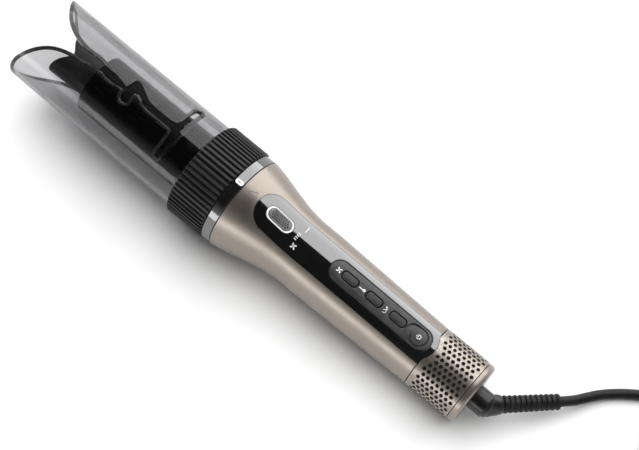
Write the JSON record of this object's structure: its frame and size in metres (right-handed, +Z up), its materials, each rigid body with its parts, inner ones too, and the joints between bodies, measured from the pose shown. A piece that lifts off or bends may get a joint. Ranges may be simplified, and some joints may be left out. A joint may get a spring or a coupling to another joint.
{
  "type": "automatic hair curler",
  "caption": "Air styler that curls hair round a heated barrel inside a clear slotted shroud; ribbed head, waisted handle with keys, swivel cord.",
  "frame": {"origin": "middle of the tool's footprint, on the surface that it lies on; the cord is left out", "axes": "+X along the tool from the cord end to the shroud's mouth, +Z up through the control panel, +Y to the left"},
  "size_m": [0.5283, 0.133, 0.0669],
  "materials": {
    "champagne": "satin metallic lacquer on moulded shells",
    "gloss_black": "polished black",
    "satin_black": "satin black",
    "collar_black": "satin black, ribbed",
    "cord_rubber": "matt black",
    "plug_black": "moulded matt black",
    "smoke_clear": "smoked clear moulding",
    "barrel_black": "black coated, semi gloss",
    "tip_grey": "dark grey heat-proof moulding",
    "key_grey": "fine satin texture",
    "white": "white",
    "board_green": "solder mask",
    "brass": "nickel brass",
    "mica": "mica sheet",
    "nylon_grey": "moulded nylon",
    "steel": "plain"
  },
  "bodies": {
    "root": {"upper_shell": "champagne", "lower_shell": "champagne", "shell_screw_1": "steel", "shell_screw_2": "steel", "shell_screw_3": "steel", "shell_screw_4": "steel", "control_panel": "gloss_black", "thumb_ring": "white", "button_bezel": "key_grey", "circuit_board": "board_green", "board_screw_1": "steel", "board_screw_2": "steel", "board_screw_3": "steel", "board_screw_4": "steel", "tactile_switch_1": "satin_black", "tactile_switch_2": "satin_black", "tactile_switch_3": "satin_black", "tactile_switch_4": "satin_black", "slide_switch": "steel", "fan_housing": "nylon_grey", "motor_can": "steel", "rear_motor_mount": "cord_rubber", "front_motor_mount": "cord_rubber", "heater_sleeve": "mica", "heater_frame": "mica", "heater_coil": "steel", "thermal_fuse": "steel", "outlet_grille": "nylon_grey", "tail_frame": "nylon_grey", "cord": "cord_rubber", "cord_coil": "cord_rubber", "cord_tail": "cord_rubber", "cord_tie": "satin_black", "plug_body": "plug_black", "plug_pin_1": "brass", "plug_pin_2": "brass"},
    "lock": {"bayonet_ring": "nylon_grey"},
    "head": {"base_band": "gloss_black", "grip_collar": "collar_black", "shroud_tube": "smoke_clear", "barrel": "barrel_black", "cool_tip": "tip_grey", "vane_ring": "satin_black"},
    "thumb_key": {"thumb_button": "satin_black"},
    "speed_key": {"speed_button": "key_grey"},
    "heat_key": {"heat_button": "key_grey"},
    "direction_key": {"direction_button": "key_grey"},
    "power_knob": {"power_slider": "key_grey"},
    "rotor": {"impeller": "nylon_grey", "motor_shaft": "steel"},
    "cage": {"inlet_sleeve": "champagne", "inlet_filter": "steel", "end_cap": "champagne"},
    "swivel": {"swivel_block": "satin_black", "strain_relief": "cord_rubber"}
  },
  "joints": [
    {"name": "head_twist", "type": "hinge", "parent": "root", "child": "lock", "pos_m": [-0.15582, 0, 0.01926], "axis": [0.9979, 0, 0.0646], "range_deg": [0, 30]},
    {"name": "head_pull_off", "type": "slide", "parent": "lock", "child": "head", "axis": [0.9979, 0, 0.0646], "range_m": [0, 0.012]},
    {"name": "thumb_press", "type": "slide", "parent": "root", "child": "thumb_key", "axis": [0.2799, 0, -0.96], "range_m": [0, 0.001], "stiffness_N_per_m": 1500, "springref_m": -0.0005},
    {"name": "speed_press", "type": "slide", "parent": "root", "child": "speed_key", "axis": [0.0883, 0, -0.9961], "range_m": [0, 0.0008], "stiffness_N_per_m": 1500, "springref_m": -0.0005},
    {"name": "heat_press", "type": "slide", "parent": "root", "child": "heat_key", "axis": [0.0883, 0, -0.9961], "range_m": [0, 0.0008], "stiffness_N_per_m": 1500, "springref_m": -0.0005},
    {"name": "direction_press", "type": "slide", "parent": "root", "child": "direction_key", "axis": [0.0883, 0, -0.9961], "range_m": [0, 0.0008], "stiffness_N_per_m": 1500, "springref_m": -0.0005},
    {"name": "power_slide", "type": "slide", "parent": "root", "child": "power_knob", "axis": [0.9961, 0, 0.0883], "range_m": [0, 0.0035]},
    {"name": "fan_spin", "type": "hinge", "parent": "root", "child": "rotor", "pos_m": [-0.15582, 0, 0.01926], "axis": [0.9979, 0, 0.0646], "continuous": true},
    {"name": "inlet_cage_slide", "type": "slide", "parent": "root", "child": "cage", "axis": [-0.9979, 0, -0.0646], "range_m": [0, 0.006]},
    {"name": "cord_swivel", "type": "hinge", "parent": "root", "child": "swivel", "pos_m": [-0.15582, 0, 0.01926], "axis": [0.9979, 0, 0.0646], "continuous": true}
  ]
}
